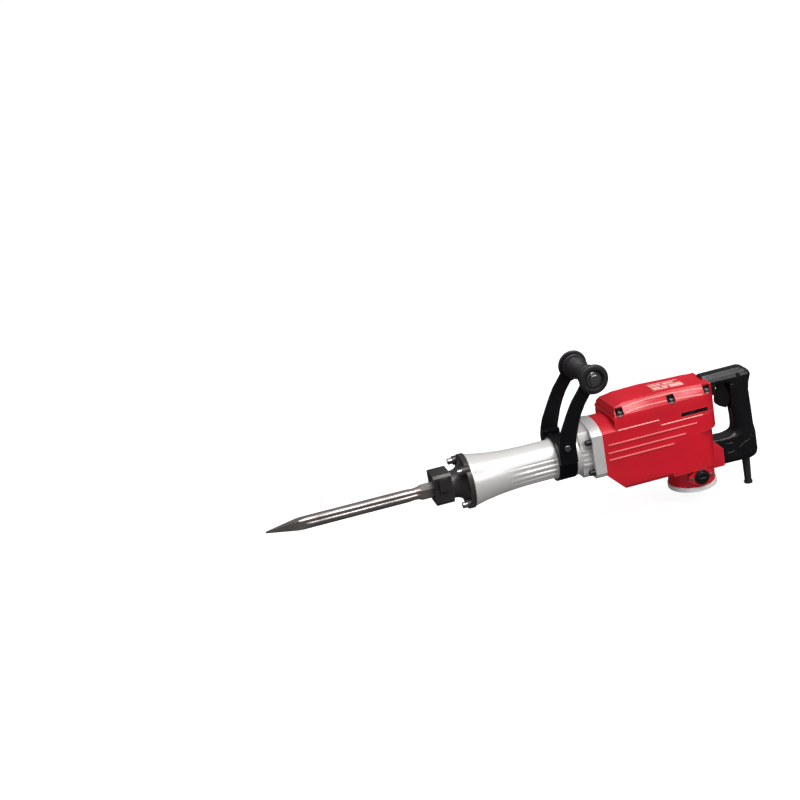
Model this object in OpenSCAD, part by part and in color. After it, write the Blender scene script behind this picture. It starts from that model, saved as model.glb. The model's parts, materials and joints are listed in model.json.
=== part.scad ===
// Electric demolition hammer with its chisel.  The hammer axis lies level along X, the nose and chisel
// point towards -X, and the motor stands upright along Z.  The origin is the centre of the flat bottom
// of the tail cover, below the motor.

/* [Overall] */
// height of the hammer axis above the bottom of the tail cover
axis_h = 135; // [125:1:165]
// width of the red housing
body_w = 114; // [108:1:140]
// length of the chisel in front of the nose
chisel_reach = 347; // [200:1:450]
// size of the chisel bar across its flats
chisel_af = 30; // [24:1:36]

/* [Barrel] */
// how much wider the front end of the barrel is than its neck, in radius
barrel_flare = 11.8; // [10:0.1:20]
// length of the flared part of the barrel
flare_len = 180; // [140:1:220]
// radius of the cylinder bore
bore_r = 32; // [28:0.5:40]
// wall of the steel cylinder liner
liner_t = 5; // [4:0.5:7]
// wall of the barrel round the liner at its neck
neck_t = 6.9; // [5:0.1:10]

/* [Drive] */
// distance of the crank pin from the crankshaft axis
crank_throw = 12; // [8:0.5:14.5]
// length of the connecting rod between its two pins
rod_len = 137; // [130:1:160]
// module of the first pair of gears
mod_a = 1.5; // [1.2:0.1:1.6]
// module of the second pair of gears
mod_b = 2; // [1.6:0.1:2.2]
// radius of the armature core
core_r = 25; // [20:1:30]

/* [Handles] */
// width of the rear handle
grip_w = 40; // [34:1:50]
// height of the side grip above the hammer axis
side_grip_h = 166; // [140:1:200]
// thickness of the flat side arms
arm_t = 6; // [4:0.5:9]
// width of the clamp band round the neck
band_w = 38; // [30:1:42]

/* [Hidden] */
$fn = 48;
run_gap = 0.05;
free_gap = 0.3;
hw = body_w / 2;
zt = -axis_h;                       // bottom of the tail cover, seen from the hammer axis
tail_t = 9.5;
z_motor = zt + tail_t;              // lower end of the motor cylinder
z_brush = zt + 33;
motor_r = hw - 8;
motor_in = motor_r - 5.3;
liner_r = bore_r + liner_t;
neck_r = liner_r + neck_t;
front_r = neck_r + barrel_flare;    // radius of the barrel at its front end
x_case_r = -203;                    // joint between the gear case and the red housing
x_plate = -226;
x_case_f = -258;
x_band = x_case_f - 2;
x_neck = x_band - band_w - 2;
x_front = x_neck - flare_len;       // joint between the barrel and the front cover
flange_t = 10;
x_nose = x_front - 76;
split_f = 45;
split_r = 33;
x_step = -77;
z_box = -85;
pin_a = 9; gear_a = 48; pin_b = 13; gear_b = 42;
x_mid = -mod_a * (pin_a + gear_a) / 2;
x_crank = x_mid - mod_b * (pin_b + gear_b) / 2;
x_pin = x_crank - crank_throw;
x_wrist = x_pin - rod_len;
gear_b_z = 26; gear_b_t = 12;
gear_a_z = 42; gear_a_t = 9;
plate_z = 54; plate_t = 13;
wall_z = 6; wall_t = 14;
cav_r = crank_throw + 11.5;         // hollow of the piston
x_piston_f = x_wrist - 10 - 2 * crank_throw - 9.5;
piston_l = 68;
x_striker = x_piston_f - 10;
striker_l = 72;
chisel_cr = chisel_af / 2 / cos(30);
x_shank = x_nose + 75;
x_lever = x_nose + 20;
lever_r = 7;
z_lever = chisel_af / 2 + lever_r - 1.5;
bolt_c = front_r - 4.9;
gx = -205.6;                        // side grip axis
arm_y = neck_r + 8.1;               // inner face of each side arm

// ---- helpers -------------------------------------------------------------------------------------
module at_axis() translate([0, 0, axis_h]) children();
// the rear handle keeps its place behind the housing when the housing's width changes
module at_handle() translate([hw - 57, 0, axis_h]) children();
module rod_x(x0, x1, r) translate([x0, 0, 0]) rotate([0, 90, 0]) cylinder(h = x1 - x0, r = r);
module rod_y(y0, y1, r) translate([0, y0, 0]) rotate([-90, 0, 0]) cylinder(h = y1 - y0, r = r);
module rod_z(z0, z1, r) translate([0, 0, z0]) cylinder(h = z1 - z0, r = r);
module block(x0, x1, y0, y1, z0, z1) translate([x0, y0, z0]) cube([x1 - x0, y1 - y0, z1 - z0]);
// outline in the X-Z plane, drawn out from y0 to y1
module slab_y(pts, y0, y1) translate([0, y1, 0]) rotate([90, 0, 0])
  linear_extrude(height = y1 - y0) polygon(pts);
// outline in the Y-Z plane, drawn out from x0 to x1
module slab_x(pts, x0, x1) translate([x0, 0, 0]) rotate([90, 0, 90])
  linear_extrude(height = x1 - x0) polygon(pts);
// outline of radius and place along X, turned about the hammer axis
module turned_x(pts) rotate([0, 90, 0]) rotate_extrude() polygon(pts);
module ring_z(z0, z1, ro, ri) difference() { rod_z(z0, z1, ro); rod_z(z0 - 1, z1 + 1, ri); }
module ring_x(x0, x1, ro, ri) difference() { rod_x(x0, x1, ro); rod_x(x0 - 1, x1 + 1, ri); }
module bolt_ring() for (a = [45 : 90 : 315]) rotate([a, 0, 0]) translate([0, 0, bolt_c]) children();
module both_y() { children(); mirror([0, 1, 0]) children(); }
module hex_x(x0, x1, af) translate([x0, 0, 0]) rotate([0, 90, 0])
  cylinder(h = x1 - x0, r = af / 2 / cos(30), $fn = 6);
function bow(cx, cy, r, a0, a1, n) = [for (i = [0 : n]) let (a = a0 + (a1 - a0) * i / n)
  [cx + r * cos(a), cy + r * sin(a)]];
function sides(w, pts) = concat([for (p = pts) [p[0] * w, p[1]]],
  [for (i = [len(pts) - 1 : -1 : 0]) [-pts[i][0] * w, pts[i][1]]]);
function polar(r, a) = [r * cos(a), r * sin(a)];
function tooth_deg(w, r) = w / r * 180 / PI;
function gear_pts(n, m) = let (r = n * m / 2, rr = r - 1.25 * m, rt = r + 0.8 * m)
  [for (i = [0 : n - 1]) let (a = i * 360 / n) each [
    polar(rr, a - tooth_deg(0.767 * m, rr)), polar(rt, a - tooth_deg(0.3 * m, rt)),
    polar(rt, a + tooth_deg(0.3 * m, rt)), polar(rr, a + tooth_deg(0.767 * m, rr))]];
module gear_z(z0, z1, n, m) translate([0, 0, z0]) linear_extrude(height = z1 - z0)
  polygon(gear_pts(n, m));
module screw_z(z0, z1, r, hz, hr) { rod_z(z0, z1, r); rod_z(z1, z1 + hz, hr); }

// ---- red housing ---------------------------------------------------------------------------------
rear_plan = concat([[-60, -hw]], bow(-3.7, 0, hw, -90, 90, 24), [[-60, hw]]);
x_back = hw;
back_r = hw - 15;
// plan of the upper housing, set in by t, its front edge at x0
function back_plan(x0, t) = concat([[x0, -hw + t]],
  bow(x_back - back_r, -hw + back_r, back_r - t, -90, 0, 12),
  bow(x_back - back_r, hw - back_r, back_r - t, 0, 90, 12), [[x0, hw - t]]);
bulge_plan = back_plan(-60, 0);
bulge_in = back_plan(-60, 6);
plate_outline = sides(hw, [[0.86, -48], [1, -38], [1, 45], [0.74, 58], [0.4, 64], [0, 66]]);
boss_pts = [[-27, -5], [-7, -19], [7, -19], [27, -5], [27, 5], [7, 19], [-7, 19], [-27, 5]];
cover_bolts = [[-158, hw - 5.4], [-45, hw - 5.4], [36, hw - 10.5]];

module main_housing() color([0.76, 0.11, 0.17]) at_axis() union() {
  housing_shell();
  both_y() block(-152, -138, hw - 21, hw - 5.5, 28, split_f);
}
module housing_shell() difference() {
  union() {
    intersection() {
      slab_y([[x_case_r, -46], [-165, z_box], [-50, z_box], [-50, split_r], [x_step, split_r],
        [x_step, split_f], [x_case_r, split_f]], -hw, hw);
      slab_x(sides(hw, [[0.85, z_box - 1], [1, z_box + 9], [1, split_f + 1]]), x_case_r - 1, -49);
    }
    slab_x(sides(hw, [[1, split_f - 1], [0.74, 56.5], [0.4, 62.5], [0.1, 64.5]]), x_case_r, -172.4);
    translate([0, 0, z_box]) linear_extrude(height = split_r - z_box) polygon(rear_plan);
    translate([0, 0, -4]) linear_extrude(height = split_r + 4) polygon(bulge_plan);
    rod_z(z_motor, z_box + 1, motor_r);
    translate([hw - 57, 0, 0]) slab_y([[37, -45], [48, -45], [68, -66], [68, -105], [37, -105]],
      -grip_w / 2 - 3, grip_w / 2 + 3);
    both_y() translate([0, 0, z_brush]) slab_y(boss_pts, motor_in - 6, motor_r + 5.5);
    both_y() for (g = [[-193, 2, 19], [-195, -24, 2], [-195, -52, -13]])
      block(g[0], g[1], hw - 1, hw + 1.1, g[2] - 1.2, g[2] + 1.2);
  }
  // hammer chamber, motor bore and gear space
  slab_y([[x_case_r + 5, -42], [-160, z_box + 6], [-57, z_box + 6], [-57, split_f + 1],
    [x_case_r + 5, split_f + 1]], -hw + 6, hw - 6);
  rod_z(z_motor - 1, wall_z, motor_in);
  translate([0, 0, wall_z + wall_t]) linear_extrude(height = split_r - wall_z) polygon(bulge_in);
  rod_x(x_case_r - 1, x_case_r + 6, liner_r + run_gap);
  block(-168, x_step, -hw + 6, hw - 6, 10, split_f + 12);
  // bearing seats in the wall above the motor
  rod_z(wall_z + 2, wall_z + wall_t + 1, 16);
  rod_z(wall_z - 1, wall_z + 3, 8);
  translate([x_mid, 0, 0]) rod_z(wall_z + 4, wall_z + wall_t + 1, 11);
  // brush holder bores
  translate([0, 0, z_brush]) both_y() rod_y(motor_in - 12, motor_r + 7, 10);
  // screw holes
  for (b = cover_bolts, s = [-1, 1]) translate([b[0], s * b[1], 0]) rod_z(10, split_f + 1, 2.9);
}

cover_side = [[-172, split_f], [-172, 60], [-171, 66], [-173, 70], [-169, 76], [-170, 80], [-165, 90],
  [-140, 96.5], [-80, 98], [47, 92], [x_back - 3.5, 84], [x_back, 75], [x_back, split_r],
  [x_step, split_r], [x_step, split_f]];
cover_cross = sides(hw, [[0.985, split_r - 1], [0.985, 62], [0.975, 74], [0.81, 88], [0.67, 95],
  [0.67, 110]]);
cover_in_side = [[-167, split_f - 1], [-167, 64], [-160, 83], [-138, 90], [-80, 91.5], [42, 85],
  [x_back - 9, 79], [x_back - 6, 70], [x_back - 6, split_r - 1], [x_step - 1, split_r - 1]];
cover_in_cross = sides(hw, [[0.84, split_r - 2], [0.84, 66], [0.72, 80], [0.6, 88], [0.6, 110]]);

module top_cover() color([0.78, 0.12, 0.18]) at_axis() difference() {
  intersection() {
    slab_y(cover_side, -hw, hw);
    slab_x(cover_cross, -180, x_back + 4);
    translate([0, 0, split_r]) linear_extrude(height = 90) polygon(back_plan(-180, 0));
  }
  difference() {
    intersection() {
      slab_y(cover_in_side, -hw, hw);
      slab_x(cover_in_cross, -176, x_back);
      translate([0, 0, split_r - 2]) linear_extrude(height = 90) polygon(back_plan(-180, 6.5));
    }
    // solid round the bolt pockets
    both_y() for (b = cover_bolts) block(b[0] - 12, b[0] + 12, b[1] - 11, hw, 72, 100);
  }
  both_y() for (b = cover_bolts) translate([b[0], b[1], 0]) {
    block(-8.5, 8.5, -8, 15, 74, 100);
    rod_z(split_r - 2, 80, 3);
  }
  both_y() block(-30, 31.5, hw - 13, hw + 1, 38, 47);
}

module top_cover_bolts() color([0.5, 0.5, 0.52]) at_axis()
  for (b = cover_bolts, s = [-1, 1]) translate([b[0], s * b[1], 0]) difference() {
    screw_z(16, 74, 2.8, 7, 5.4);
    translate([0, 0, 78]) cylinder(h = 4, r = 3, $fn = 6);
  }

roof_tilt = atan((98 - 92) / (47 + 80));
module name_plate() color([0.85, 0.8, 0.78]) at_axis()
  translate([-80, 0, 98]) rotate([0, roof_tilt, 0]) block(6, 82, -27, 27, 0, 0.8);

// ---- gear case -----------------------------------------------------------------------------------
case_outline = sides(1, [[neck_r - 8, -neck_r - 1], [neck_r - 0.6, -neck_r + 8], [neck_r - 0.6, 34],
  [neck_r - 10, 52], [14, 58]]);
case_bolts = [[hw - 6.6, 33], [hw - 6.6, -33]];
module gear_case() color([0.82, 0.81, 0.79]) at_axis() difference() {
  union() {
    slab_x(plate_outline, x_plate, x_case_r);
    rod_x(x_case_f, x_plate + 1, neck_r + 2);
    slab_x(case_outline, x_case_f + 10, x_plate + 1);
    both_y() for (z = [-18, -8, 2, 12]) block(x_case_f + 12, x_plate + 1, neck_r - 2, neck_r + 2.4, z, z + 4);
  }
  rod_x(x_case_f - 1, x_case_r + 1, liner_r + run_gap);
  for (p = case_bolts, s = [-1, 1]) translate([0, s * p[0], p[1]]) {
    rod_x(x_plate - 1, x_case_r + 1, 3.1);
    rod_x(x_case_f + 8, x_plate, 7);
  }
}
module gear_case_bolts() color([0.2, 0.2, 0.21]) at_axis()
  for (p = case_bolts, s = [-1, 1]) translate([0, s * p[0], p[1]]) difference() {
    union() { rod_x(x_plate - 12, x_plate, 6); rod_x(x_plate, x_case_r, 3); }
    rod_x(x_plate - 13, x_plate - 7, 3.2);
  }

// ---- barrel --------------------------------------------------------------------------------------
function flare_r(t) = neck_r + (front_r - neck_r) * pow(t, 2.1);
module cylinder_case() color([0.88, 0.87, 0.86]) at_axis() difference() {
  turned_x(concat([[liner_r + run_gap, x_front]],
    [for (i = [10 : -1 : 0]) [flare_r(i / 10), x_neck - flare_len * i / 10]],
    [[neck_r, x_case_f], [liner_r + run_gap, x_case_f]]));
  rod_x(x_front - 1, x_front + 40, liner_r + 8);
  for (a = [0 : 7]) rotate([a * 24 - 84, 0, 0]) translate([x_neck + 1, 0, -neck_r - 1.9])
    rotate([0, 4, 0]) rod_x(-110, 0, 2.4);
  bolt_ring() rod_x(x_front - 1, x_front + 26, 3.2);
}
module cylinder_liner() color([0.62, 0.63, 0.65]) at_axis()
  ring_x(x_front + 40, x_case_r + 5, liner_r, bore_r);
module hammer_holder() color([0.5, 0.5, 0.52]) at_axis()
  ring_x(x_front + 4, x_front + 40, liner_r + 7.95, 20 + run_gap);
module damper_ring() color([0.1, 0.1, 0.1]) at_axis()
  ring_x(x_front, x_front + 4, liner_r + 7.9, 26);
module impact_bolt() color([0.58, 0.58, 0.6]) at_axis() union() {
  rod_x(x_shank + 0.6, x_shank + 12, 13);
  rod_x(x_shank + 12, x_shank + 62, 20);
}

// ---- nose ----------------------------------------------------------------------------------------
nose_cross = [[-28, -22], [-20, -30], [20, -30], [28, -22], [28, 30], [23, 35], [-23, 35], [-28, 30]];
module front_cover() color([0.16, 0.16, 0.17]) at_axis() difference() {
  union() {
    turned_x([[0, x_nose + 30], [28.3, x_nose + 30], [28.3, x_front - 32], [29.8, x_front - 25],
      [33.5, x_front - 19], [39.5, x_front - 14], [47, x_front - flange_t],
      [front_r + 1.6, x_front - flange_t], [front_r + 1.6, x_front], [0, x_front]]);
    slab_x(nose_cross, x_nose, x_nose + 37);
    bolt_ring() rod_x(x_front - 17, x_front - 2, 9.5);
  }
  rod_x(x_nose - 1, x_nose + 34, chisel_cr + 0.9);
  rod_x(x_nose + 34, x_front + 1, chisel_cr + 6.5);
  translate([x_lever, 0, z_lever]) rod_y(-29, 29, lever_r + free_gap);
  bolt_ring() rod_x(x_front - 18, x_front + 1, 3.2);
}
module front_cover_bolts() color([0.6, 0.6, 0.62]) at_axis()
  bolt_ring() difference() {
    union() { rod_x(x_front - 28, x_front - 17, 6.6); rod_x(x_front - 17, x_front + 24, 3.1); }
    rod_x(x_front - 29, x_front - 23, 3.4);
  }
module tool_bush() color([0.55, 0.55, 0.57]) at_axis() difference() {
  rod_x(x_nose + 34, x_front, chisel_cr + 6.4);
  hex_x(x_nose + 33, x_front + 1, chisel_af + 0.9);
}
module tool_retainer() color([0.2, 0.2, 0.21]) at_axis() translate([x_lever, 0, z_lever]) difference() {
  union() {
    rod_y(-29, 29, lever_r);
    slab_y(concat(bow(0, 0, 10.5, 0, 180, 10), [[-10.5, -16], [10.5, -16]]), -36, -28.6);
    rod_y(28.6, 32, 9.5);
  }
  block(-9, 9, -22, 22, 5, 9);
}
tip_x = x_nose - chisel_reach;
point_l = 96;
bar_r = chisel_af / 2 - 1;
module chisel() color([0.6, 0.58, 0.57]) at_axis() difference() {
  union() {
    hex_x(x_nose - 22, x_shank, chisel_af);
    turned_x([[0, tip_x], [bar_r, tip_x], [bar_r, x_nose - 34], [chisel_af / 2, x_nose - 21.9],
      [0, x_nose - 21.9]]);
  }
  // four flats ground to the point
  for (a = [0 : 3]) rotate([a * 90, 0, 0]) translate([tip_x, 0, 1.5])
    rotate([0, -atan((bar_r - 1.5) / point_l), 0]) block(-30, point_l * 1.3, -40, 40, 0, 40);
  // notch that the retainer holds
  block(x_lever - 9, x_lever + 34, -20, 20, chisel_af / 2 - 2.1, 30);
}

// ---- motor ---------------------------------------------------------------------------------------
tail_screws = [45, 135, 225, 315];
module tail_cover() color([0.86, 0.85, 0.84]) at_axis() difference() {
  union() {
    rod_z(zt, z_motor, motor_r + 2.4);
    rod_z(z_motor, z_motor + 6, motor_in - 0.1);
  }
  rod_z(zt + 3.5, z_motor + 7, 11);
  ring_z(z_motor, z_motor + 7, motor_in - 5, 16);
  for (a = tail_screws) rotate([0, 0, a]) translate([motor_r - 3.2, 0, 0]) {
    rod_z(zt - 1, zt + 3.5, 4.2);
    rod_z(zt - 1, z_motor + 1, 1.9);
  }
}
module tail_cover_screws() color([0.6, 0.6, 0.62]) at_axis()
  for (a = tail_screws) rotate([0, 0, a]) translate([motor_r - 3.2, 0, 0]) {
    rod_z(zt + 0.8, zt + 3.5, 3.9);
    rod_z(zt + 3.5, z_motor, 1.8);
  }
module motor_bearings() color([0.7, 0.7, 0.72]) at_axis() {
  ring_z(zt + 3.5, zt + 12.5, 11, 5 + run_gap);
  ring_z(wall_z + 2, wall_z + wall_t - 1, 16, 6 + run_gap);
}
z_core = zt + 51;
core_l = -20 - z_core;
module stator_core() color([0.42, 0.42, 0.44]) at_axis() difference() {
  rod_z(z_core, z_core + core_l, motor_in - 0.05);
  rod_z(z_core - 1, z_core + core_l + 1, core_r + 1);
  both_y() block(-15, 15, core_r - 4, motor_in - 9, z_core - 1, z_core + core_l + 1);
}
module field_coils() color([0.62, 0.32, 0.16]) at_axis() both_y()
  block(-14, 14, core_r + 2, motor_in - 10, z_core - 5, z_core + core_l + 4);
module armature_shaft() color([0.62, 0.62, 0.64]) at_axis() union() {
  rod_z(zt + 4.5, zt + 16, 5);
  rod_z(zt + 16, gear_a_z - 1, 6);
  gear_z(gear_a_z - 1, gear_a_z + gear_a_t + 1, pin_a, mod_a);
}
module armature_core() color([0.35, 0.35, 0.37]) at_axis() difference() {
  rod_z(z_core, z_core + core_l, core_r);
  rod_z(z_core - 1, z_core + core_l + 1, 6);
  for (i = [0 : 10]) rotate([0, 0, i * 360 / 11]) block(core_r - 8, core_r + 1, -1.5, 1.5,
    z_core - 1, z_core + core_l + 1);
}
module commutator() color([0.72, 0.42, 0.24]) at_axis() ring_z(z_brush - 12, z_brush + 12, 15.2, 6);
module cooling_fan() color([0.25, 0.25, 0.26]) at_axis() difference() {
  union() {
    rod_z(-14, 0, 13);
    rod_z(-14, -11.5, motor_in - 5);
    for (i = [0 : 8]) rotate([0, 0, i * 40]) block(11, motor_in - 6, -1.2, 1.2, -12, 0);
  }
  rod_z(-15, 1, 6);
}
module brush_holders() color([0.75, 0.6, 0.3]) at_axis() both_y() difference() {
  translate([0, 0, z_brush]) union() {
    block(-6.5, 6.5, 19, motor_in - 8, -8, 8);
    rod_y(motor_in - 8, motor_r + 5, 9.9);
  }
  translate([0, 0, z_brush]) block(-4, 4, 10, motor_r + 1, -5.5, 5.5);
}
module carbon_brushes() color([0.12, 0.12, 0.13]) at_axis() both_y()
  translate([0, 0, z_brush]) block(-3.9, 3.9, 15.6, 34, -5.4, 5.4);
module brush_covers() color([0.1, 0.1, 0.11]) at_axis() both_y() difference() {
  translate([0, 0, z_brush]) union() {
    rod_y(motor_r + 5.5, motor_r + 10, 15.6);
    rod_y(motor_r + 10, motor_r + 11.5, 11);
  }
  translate([0, 0, z_brush]) block(-7, 7, motor_r + 10.2, motor_r + 13, -1.4, 1.4);
}
module brush_cover_screws() color([0.55, 0.55, 0.56]) at_axis() both_y()
  for (s = [-1, 1]) translate([s * 21.5, 0, z_brush]) { rod_y(motor_r + 5.5, motor_r + 8.5, 3.6); }

// ---- gear train ----------------------------------------------------------------------------------
module countershaft() color([0.6, 0.6, 0.62]) at_axis() translate([x_mid, 0, 0]) union() {
  rod_z(wall_z + 5, gear_b_z - 1, 5);
  gear_z(gear_b_z - 1, gear_b_z + gear_b_t + 1, pin_b, mod_b);
  rod_z(gear_b_z + gear_b_t + 1, plate_z + plate_t - 1, 5);
}
module countershaft_gear() color([0.55, 0.55, 0.57]) at_axis() translate([x_mid, 0, 0]) difference() {
  gear_z(gear_a_z, gear_a_z + gear_a_t, gear_a, mod_a);
  rod_z(gear_a_z - 1, gear_a_z + gear_a_t + 1, 5);
  for (i = [0 : 5]) rotate([0, 0, i * 60 + 30]) translate([19, 0, 0]) rod_z(gear_a_z - 1, gear_a_z + 20, 5);
}
module crank_gear() color([0.55, 0.55, 0.57]) at_axis() translate([x_crank, 0, 0]) difference() {
  gear_z(gear_b_z, gear_b_z + gear_b_t, gear_b, mod_b);
  rod_z(gear_b_z - 1, gear_b_z + gear_b_t + 1, 9);
  for (i = [0 : 5]) rotate([0, 0, i * 60 + 30]) translate([25, 0, 0]) rod_z(gear_b_z - 1, gear_b_z + 20, 6);
}
module crankshaft() color([0.6, 0.6, 0.62]) at_axis() translate([x_crank, 0, 0]) union() {
  rod_z(gear_b_z - 11, gear_b_z, crank_throw + 14);
  rod_z(gear_b_z, gear_b_z + gear_b_t, 9);
  rod_z(gear_b_z + gear_b_t, plate_z + plate_t - 1, 8);
  translate([-crank_throw, 0, 0]) rod_z(-12, gear_b_z - 11, 8);
}
module shaft_bearings() color([0.7, 0.7, 0.72]) at_axis() {
  translate([x_mid, 0, 0]) ring_z(wall_z + 4, wall_z + wall_t - 1, 11, 5 + run_gap);
  translate([x_mid, 0, 0]) ring_z(plate_z + 1, plate_z + plate_t - 1, 11, 5 + run_gap);
  translate([x_crank, 0, 0]) ring_z(plate_z + 1, plate_z + plate_t - 1, 15, 8 + run_gap);
}
post_xy = [[-145, hw - 16.5, split_f], [-20, hw - 17, wall_z + wall_t]];
module bearing_plate() color([0.72, 0.72, 0.73]) at_axis() difference() {
  union() {
    block(-152, -13, -hw + 12, hw - 12, plate_z, plate_z + plate_t);
    for (p = post_xy, s = [-1, 1]) translate([p[0], s * p[1], 0]) rod_z(p[2], plate_z + 1, 5);
  }
  for (b = [[x_mid, 11, 6.5], [x_crank, 15, 9.5]]) translate([b[0], 0, 0]) {
    rod_z(plate_z + 1, plate_z + plate_t + 1, b[1]);
    rod_z(plate_z - 1, plate_z + 2, b[2]);
  }
  for (p = post_xy, s = [-1, 1]) translate([p[0], s * p[1], 0]) rod_z(p[2] - 1, 80, 2.1);
}
module plate_screws() color([0.5, 0.5, 0.52]) at_axis()
  for (p = post_xy, s = [-1, 1]) translate([p[0], s * p[1], 0]) screw_z(p[2], plate_z + plate_t, 2, 3.5, 4.2);

// ---- hammer mechanism ----------------------------------------------------------------------------
module connecting_rod() color([0.66, 0.66, 0.68]) at_axis() difference() {
  union() {
    translate([x_pin, 0, 0]) rod_z(-8, 8, 15);
    translate([x_wrist, 0, 0]) rod_z(-7, 7, 10);
    block(x_wrist + 4, x_pin - 8, -6, 6, -6, 6);
  }
  translate([x_pin, 0, 0]) rod_z(-9, 9, 8 + run_gap);
  translate([x_wrist, 0, 0]) rod_z(-9, 9, 5);
}
module wrist_pin() color([0.6, 0.6, 0.62]) at_axis() translate([x_wrist, 0, 0]) rod_z(-13.5, 13.5, 5);
module piston() color([0.7, 0.7, 0.71]) at_axis() difference() {
  rod_x(x_piston_f, x_piston_f + piston_l, bore_r - run_gap);
  rod_x(x_piston_f + 8, x_piston_f + piston_l + 1, cav_r);
  ring_x(x_piston_f + 3, x_piston_f + 6, bore_r + 1, bore_r - 2.5);
}
module piston_ring() color([0.1, 0.1, 0.1]) at_axis()
  ring_x(x_piston_f + 3, x_piston_f + 6, bore_r - run_gap, bore_r - 2.5);
module striker() color([0.64, 0.64, 0.66]) at_axis() difference() {
  union() {
    rod_x(x_striker - striker_l, x_striker, bore_r - run_gap);
    rod_x(x_striker - striker_l - 5, x_striker, 15);
  }
  ring_x(x_striker - 12, x_striker - 9, bore_r + 1, bore_r - 2.5);
}
module striker_ring() color([0.1, 0.1, 0.1]) at_axis()
  ring_x(x_striker - 12, x_striker - 9, bore_r - run_gap, bore_r - 2.5);

// ---- rear handle ---------------------------------------------------------------------------------
grip_hw = grip_w / 2;
handle_pts = [[48, -45], [90, -47], [96, -44], [98.5, -37], [99, -12], [97, 9], [98.5, 16], [100, 75],
  [67, 75], [57, 75], [53.5, 84], [47, 92], [47, 97], [130, 97.5],
  [138.5, 94.5], [145.5, 88], [148, 80.5], [145.5, 72.5], [142, 64], [143.5, 32], [146, -10], [147, -75],
  [147.5, -86], [144.5, -95], [138.5, -102], [131, -106], [68, -105], [68, -66]];
handle_cross = sides(grip_hw, [[0.72, -110], [1, -101], [1, 84], [0.82, 93], [0.6, 99]]);
switch_room = [[101, 18], [134, 14], [134, 66], [103, 66]];
trigger_room = [[90, 16.5], [104, 9.5], [105.6, 56], [105.6, 74.5], [90, 74.5]];
handle_bolts = [[120, 85], [138.5, -52], [100, -86], [134, -90]];
trigger_pivot = [100, 70.5];
module handle_half(s) at_handle() difference() {
  intersection() {
    slab_y(handle_pts, s > 0 ? 0 : -grip_hw, s > 0 ? grip_hw : 0);
    slab_x(handle_cross, 40, 160);
  }
  slab_y(switch_room, -11, 11);
  slab_y(trigger_room, -8.6, 8.6);
  translate([trigger_pivot[0], 0, trigger_pivot[1]]) rod_y(-12, 12, 1.5);
  slab_y([[112, -96], [133, -96], [133, 16], [112, 16]], -7, 7);
  translate([x_guard, 0, 0]) rod_z(-112, -95, 9);
  // the lower arm fits round the back of the housing
  translate([57 - hw, 0, z_box - 30]) linear_extrude(height = split_r - z_box + 30) polygon(rear_plan);
  translate([104, 0, 64]) rod_y(-grip_hw - 1, -8, 5.4);
  for (p = handle_bolts) translate([p[0], 0, p[1]]) {
    rod_y(-grip_hw - 1, grip_hw - 6, 2.2);
    rod_y(-grip_hw - 1, -grip_hw + 5, 4.6);
  }
}
x_guard = 127;
module handle_shell_near() color([0.12, 0.12, 0.13]) handle_half(-1);
module handle_shell_far() color([0.12, 0.12, 0.13]) handle_half(1);
module handle_screws() color([0.45, 0.45, 0.47]) at_handle()
  for (p = handle_bolts) translate([p[0], 0, p[1]]) {
    rod_y(-grip_hw + 2, -grip_hw + 5, 4.4);
    rod_y(-grip_hw + 5, grip_hw - 7, 2.1);
  }
module handle_bracket() color([0.14, 0.14, 0.15]) at_axis() difference() {
  block(x_back, x_back + 10, -grip_hw, grip_hw, 54, 75);
  for (s = [-1, 1]) translate([0, s * 12, 65]) rod_x(x_back - 1, x_back + 11, 2.2);
}
module bracket_screws() color([0.62, 0.62, 0.64]) at_axis() for (s = [-1, 1]) translate([0, s * 12, 65]) {
  rod_x(x_back, x_back + 10, 2.1);
  rod_x(x_back + 10, x_back + 13.5, 4.4);
}
module switch_block() color([0.2, 0.2, 0.21]) at_handle() block(112, 133, -10.5, 10.5, 22, 60);
trigger_pts = [[91, 73.6], [80, 70], [74, 49], [72, 29], [76, 23], [92, 15], [99, 24],
  [104.5, 40], [103.4, 73]];
module trigger() color([0.1, 0.1, 0.11]) at_handle() difference() {
  slab_y(trigger_pts, -8.2, 8.2);
  translate([trigger_pivot[0], 0, trigger_pivot[1]]) rod_y(-9, 9, 1.55);
}
module trigger_pin() color([0.6, 0.6, 0.62]) at_handle()
  translate([trigger_pivot[0], 0, trigger_pivot[1]]) rod_y(-12, 12, 1.5);
module lock_button() color([0.2, 0.2, 0.2]) at_handle() translate([104, 0, 64]) {
  rod_y(-grip_hw - 3.5, -12, 5);
}
module cord_guard() color([0.1, 0.1, 0.11]) at_handle() translate([x_guard, 0, 0]) difference() {
  union() {
    rod_z(-167, -162, 9);
    translate([0, 0, -162]) cylinder(h = 54, r1 = 7.4, r2 = 8.6);
    rod_z(-108, -96, 8.9);
  }
  rod_z(-168, -90, 4.8);
}

// ---- side handle ---------------------------------------------------------------------------------
band_in = neck_r + free_gap;
band_out = neck_r + 4.1;
arm_left = [[x_band - band_w, 2], [x_band - band_w, 36], [-294.5, 52], [-289, 68.6], [-281, 84.6],
  [-273, 100], [-265, 114.7], [-255.5, 130.3], [-244.5, 143.7], [gx - 26.5, side_grip_h - 6]];
arm_right = [[gx + 7.5, side_grip_h - 26], [-217, 135], [-230, 118], [-240, 100.4], [-247.5, 83.2],
  [-253.5, 64.5], [-258, 51], [x_band - 0.5, 36], [x_band - 0.5, 2]];
module clamp_band() color([0.1, 0.1, 0.11]) at_axis() difference() {
  union() {
    rod_x(x_band - band_w, x_band, band_out);
    both_y() block(x_band - band_w, x_band - 0.5, neck_r - 6, arm_y, 2, 47);
  }
  rod_x(x_band - band_w - 1, x_band + 1, band_in);
  translate([-280, 0, 36]) rod_y(-arm_y - 1, arm_y + 1, 4.1);
}
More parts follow.
